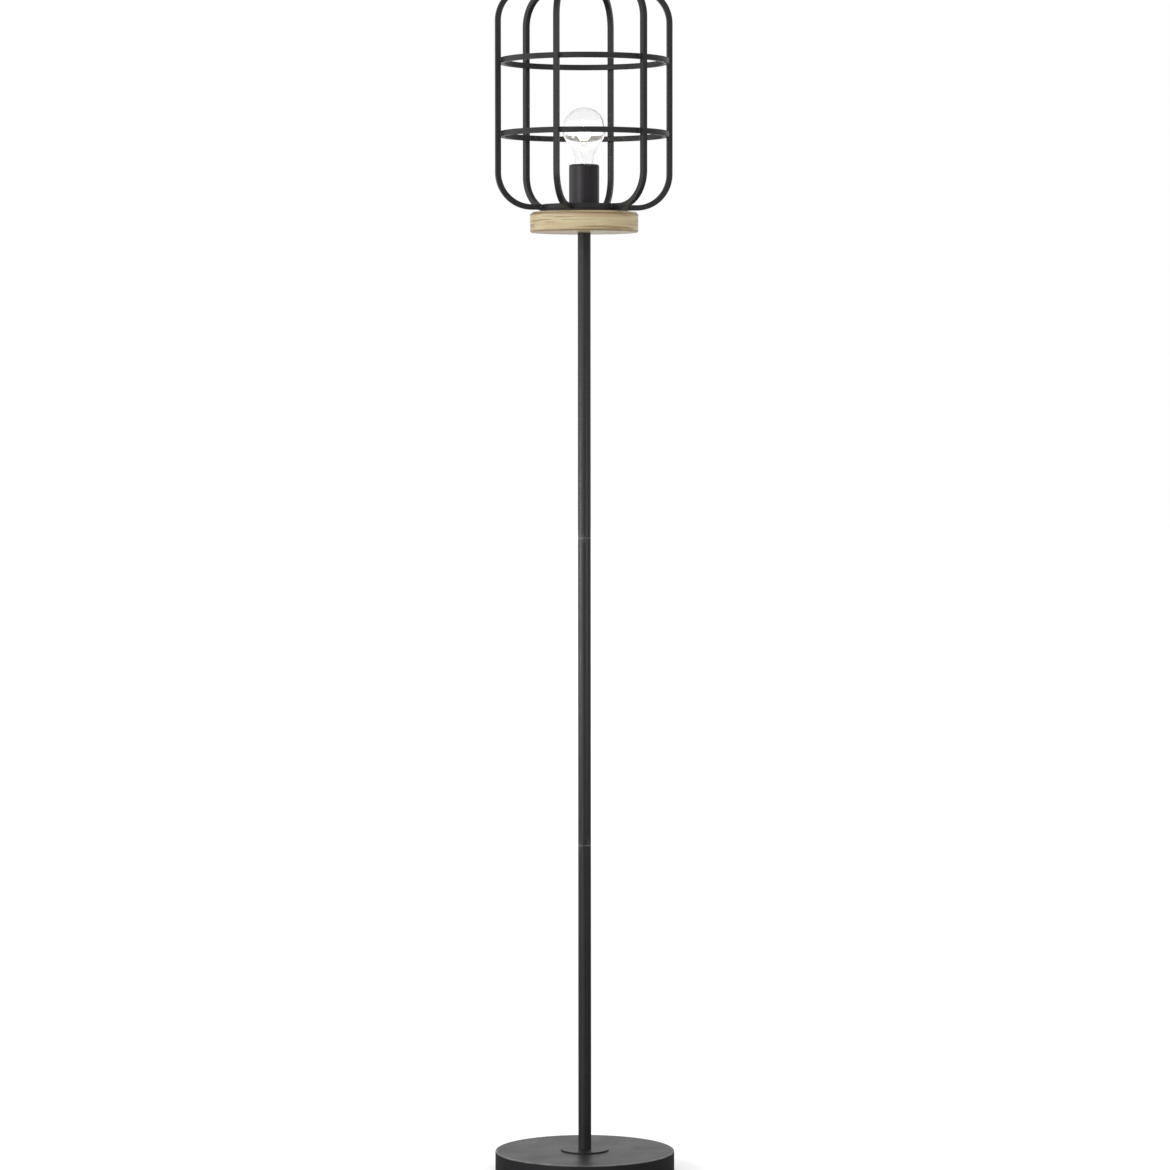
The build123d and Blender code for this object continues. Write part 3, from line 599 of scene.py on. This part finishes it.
lug_rows = []
for height, on_edge in ((0, False), (0, True), (LUG_THICKNESS, True), (LUG_THICKNESS, False)):
    row = []
    for i in range(LUG_STEPS):
        turn = tau * (i + 0.5) / LUG_STEPS
        reach = lug_edge(turn) if on_edge else LUG_HOLE
        row.append((screw_x + reach * cos(turn), reach * sin(turn), shell_low.z + height))
    lug_rows.append(row)
skin(shell_shape, lug_rows)
shell = piece("holder_thread_rolled", shell_shape, "root", "contact_brass")
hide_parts("holder_thread")

# The filament: a fine coil in a low arch between the two lead wires
COIL_RADIUS = 0.62 * MM
COIL_WIRE = 0.14 * MM
COIL_SIDES = 6
COIL_TURNS = 36
COIL_STEPS = 12
COIL_HALF_SPAN = 11 * MM
COIL_BOW = 3 * MM
FILAMENT_RADIUS = 0.8 * MM


def tube_rows(line, radius, sides):
    """Rows of points round a line, with their turn carried along it."""
    rows = []
    across = None
    for i, here in enumerate(line):
        ahead = (line[min(i + 1, len(line) - 1)] - line[max(i - 1, 0)]).normalized()
        if across is None:
            across = ahead.orthogonal()
        across = (across - ahead * across.dot(ahead)).normalized()
        upright = ahead.cross(across)
        rows.append([
            here + radius * (across * cos(tau * j / sides) + upright * sin(tau * j / sides))
            for j in range(sides)
        ])
    return rows


filament_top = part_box("bulb_filament")[1].z
bow_radius = (COIL_HALF_SPAN ** 2 + COIL_BOW ** 2) / (2 * COIL_BOW)
arc_centre = Vector((0, 0, filament_top - FILAMENT_RADIUS - bow_radius))
arc_half = 2 * atan2(COIL_BOW, COIL_HALF_SPAN)
coil = []
for i in range(COIL_TURNS * COIL_STEPS + 1):
    share = i / (COIL_TURNS * COIL_STEPS)
    lean = arc_half * (2 * share - 1)
    out = Vector((sin(lean), 0, cos(lean)))
    turn = tau * COIL_TURNS * share
    coil.append(
        arc_centre + out * (bow_radius + COIL_RADIUS * cos(turn))
        + Vector((0, COIL_RADIUS * sin(turn), 0))
    )
coil_shape = bmesh.new()
skin(coil_shape, tube_rows(coil, COIL_WIRE, COIL_SIDES), ends=True)
filament = piece("filament_coil", coil_shape, "bulb", "glowing_filament")
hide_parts("bulb_filament")

# Weld beads: a lumpy fillet on both sides of each rib, where it meets a middle ring, and where
# its legs meet the bottom and top rings
RIBS = 6
RIB_TURN = 12  # degrees from +X to the first rib
ring_low, ring_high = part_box("cage_ring_lower")
BAR = ring_high.z - ring_low.z
WELD_LEG = 1.9 * MM
WELD_BURIED = 0.3 * MM
WELD_LENGTH = 0.86 * BAR
WELD_HOLLOW = 0.2
WELD_STEPS = 12
WELD_SIDES = 6


def weld_leg(share, seed):
    """The leg of a bead this far along it: thin at both ends, with two ripples of its own."""
    ripple = 1 + 0.09 * sin(tau * 4 * share + seed) + 0.06 * sin(tau * 1.3 * share + 2.1 * seed)
    return WELD_LEG * ripple * (0.55 + 0.45 * min(1.0, 5 * min(share, 1 - share)))


def weld_rows(corner, out, side, seed):
    """Rows up a bead; its two legs lie along out and side."""
    rows = []
    for i in range(WELD_STEPS + 1):
        share = i / WELD_STEPS
        leg = weld_leg(share, seed)
        section = [(-WELD_BURIED, -WELD_BURIED), (leg, -WELD_BURIED)]
        for j in range(WELD_SIDES + 1):
            lean = pi / 2 * j / WELD_SIDES
            reach = leg * (1 - WELD_HOLLOW * sin(2 * lean))
            section.append((reach * cos(lean), reach * sin(lean)))
        section.append((-WELD_BURIED, leg))
        place = corner + Vector((0, 0, (share - 0.5) * WELD_LENGTH))
        rows.append([place + out * first + side * second for first, second in section])
    return rows


weld_shape = bmesh.new()
for i, ring_name in enumerate(("bottom", "lower", "upper", "top")):
    ring_low, ring_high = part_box(f"cage_ring_{ring_name}")
    ring_middle = Vector((0, 0, (ring_low.z + ring_high.z) / 2))
    corner_reach = (ring_high.x ** 2 - (BAR / 2) ** 2) ** 0.5
    for j in range(RIBS):
        rib_angle = radians(RIB_TURN + 360 / RIBS * j)
        out = Vector((cos(rib_angle), sin(rib_angle), 0))
        for k in (-1, 1):
            side = Vector((-sin(rib_angle), cos(rib_angle), 0)) * k
            corner = out * corner_reach + side * BAR / 2 + ring_middle
            skin(weld_shape, weld_rows(corner, out, side, 1.7 * i + 2.3 * j + k), ends=True)
piece("cage_welds", weld_shape, "root", "black_coated_steel")

# Wood screws with a cross recess, flush in the plate
SCREWS = 3
SCREW_CIRCLE = 40 * MM
SCREW_TURN = 40  # degrees from +X to the first screw
FIRST_DRIVEN = 25  # degrees that the first cross is turned, and how much more each next one is
NEXT_DRIVEN = 37
SCREW_STEPS = 96
SCREW_HEAD = 3.5 * MM
HEAD_ROUND = 0.1 * MM
HEAD_MIDDLE = 0.06 * MM
HEAD_ROWS = 18
HEAD_DEPTH = 1.9 * MM
SCREW_SHANK = 1.55 * MM
SCREW_THREAD_TOP = 3.2 * MM  # below the head
SCREW_THREAD_END = 2.6 * MM  # above the tip
SCREW_PITCH = 1.1 * MM
SCREW_CREST = 1.75 * MM
SCREW_ROOT = SCREW_SHANK - 0.3 * MM
CREST_DROP = 0.5 * MM
TIP_LENGTH = 1.4 * MM
TIP_START = 0.8 * MM
TIP_END = 0.1 * MM
CROSS_REACH = 2.2 * MM
CROSS_WIDTH = 0.42 * MM
CROSS_DEPTH = 1.3 * MM
CROSS_WALL = 0.12 * MM


def cross_recess(x, y):
    """Depth of the cross recess under this point of the head."""
    thin, far = sorted((abs(x), abs(y)))
    if far > CROSS_REACH:
        return 0.0
    wall = min(1.0, max(0.0, (CROSS_WIDTH + CROSS_WALL - thin) / CROSS_WALL))
    return wall * CROSS_DEPTH * (1 - 0.75 * far / CROSS_REACH)


def screw_row(middle, driven, radius, height, recessed=False):
    """Points round a screw driven to this angle. A recessed row follows the cross recess."""
    row = []
    for i in range(SCREW_STEPS):
        turn = tau * i / SCREW_STEPS
        drop = cross_recess(radius * cos(turn), radius * sin(turn)) if recessed else 0.0
        x, y = radius * cos(turn + driven), radius * sin(turn + driven)
        row.append(middle + Vector((x, y, height - drop)))
    return row


screw_low, screw_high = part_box("plate_screws")
screw_line = [
    (SCREW_HEAD, screw_high.z - HEAD_ROUND), (SCREW_SHANK, screw_high.z - HEAD_DEPTH),
]
root_height = screw_high.z - SCREW_THREAD_TOP
while root_height > screw_low.z + SCREW_THREAD_END:
    screw_line += [(SCREW_ROOT, root_height), (SCREW_CREST, root_height - CREST_DROP)]
    root_height -= SCREW_PITCH
screw_line += [(TIP_START, screw_low.z + TIP_LENGTH), (TIP_END, screw_low.z)]

screw_shape = bmesh.new()
for i in range(SCREWS):
    middle_angle = radians(SCREW_TURN + 360 / SCREWS * i)
    middle = Vector((SCREW_CIRCLE * cos(middle_angle), SCREW_CIRCLE * sin(middle_angle), 0))
    driven = radians(FIRST_DRIVEN + NEXT_DRIVEN * i)
    rows = []
    for j in range(HEAD_ROWS + 1):
        radius = HEAD_MIDDLE + (SCREW_HEAD - HEAD_ROUND - HEAD_MIDDLE) * j / HEAD_ROWS
        rows.append(screw_row(middle, driven, radius, screw_high.z, recessed=True))
    rows += [screw_row(middle, driven, *station) for station in screw_line]
    skin(screw_shape, rows, ends=True)
screws = piece("plate_screws_recessed", screw_shape, "root", "zinc_plated_steel", smooth=False)
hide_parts("plate_screws")

# ---------------------------------------------------------------- the filament's light

# Name, power in watts, colour, radius, and whether it shows through the glass. The first lights
# the cage, and the second is the soft white core that is seen in the bulb.
FILAMENT_LAMPS = (
    ("filament_light", 0.06, LAMP_GLOW, 8 * MM, False),
    ("filament_core", 0.0075, (1.0, 0.93, 0.80), 10.5 * MM, True),
)

for glass_name in ("bulb_glass", "bulb_stem"):
    nodes[glass_name].visible_shadow = False
for name, power, colour, radius, shows in FILAMENT_LAMPS:
    lamp = bpy.data.lights.new(name, "POINT")
    lamp.energy = power
    lamp.color = colour
    lamp.shadow_soft_size = radius
    lamp_place = bpy.data.objects.new(name, lamp)
    lamp_place.location = (0, 0, filament_top - radius)
    lamp_place.visible_transmission = shows
    scene.collection.objects.link(lamp_place)
    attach(lamp_place, "bulb")

# ---------------------------------------------------------------- floor

# Distances are in metres from the lamp, and far ones are behind it
FLOOR_SIZE = 30
FLOOR_SQUARES = 8
FLOOR_DROP = 0.3 * MM  # keeps the floor clear of the pad's underside
FLOOR_GREY = (0.8, 0.8, 0.8)
FLOOR_MIRRORED = (0.15, 0.15, 0.15)
FILL_REACH = (0.5, 5.0)
FILL_LEVEL = (0.42, 0.66)
MIRROR_REACH = (2.5, 7.0)
MIRROR_LEVEL = 0.7
MIRROR_FAR = (1.5, 5.0)


def white_floor():
    """A pale floor that the camera sees as white, and that keeps the lamp's shadow. Its own
    reflection in the lamp is dimmer near the lamp."""
    material, tree = empty_material("floor")
    seen, shiny = ray_kinds(tree)
    paint = add_node(
        tree, "ShaderNodeBsdfDiffuse", Color=mix(tree, shiny, FLOOR_GREY, FLOOR_MIRRORED)
    )
    point = place_of(tree)
    from_lamp = length(tree, point)
    fill = times(tree, seen, remap(tree, from_lamp, *FILL_REACH, *FILL_LEVEL))
    mirrored = times(
        tree, shiny, larger(
            tree, remap(tree, from_lamp, *MIRROR_REACH, 0.0, MIRROR_LEVEL),
            remap(tree, split(tree, point)["Y"], *MIRROR_FAR),
        )
    )
    glow = add_node(tree, "ShaderNodeEmission", Strength=larger(tree, fill, mirrored))
    both = tree.nodes.new("ShaderNodeAddShader")
    link(tree, paint.outputs[0], both.inputs[0])
    link(tree, glow.outputs[0], both.inputs[1])
    show(tree, both)
    return material


floor_shape = bmesh.new()
bmesh.ops.create_grid(
    floor_shape, x_segments=FLOOR_SQUARES, y_segments=FLOOR_SQUARES, size=FLOOR_SIZE
)
floor_mesh = bpy.data.meshes.new("floor")
floor_shape.to_mesh(floor_mesh)
floor_shape.free()
floor_mesh.materials.append(white_floor())
floor = bpy.data.objects.new("floor", floor_mesh)
floor.location.z = -FLOOR_DROP
scene.collection.objects.link(floor)
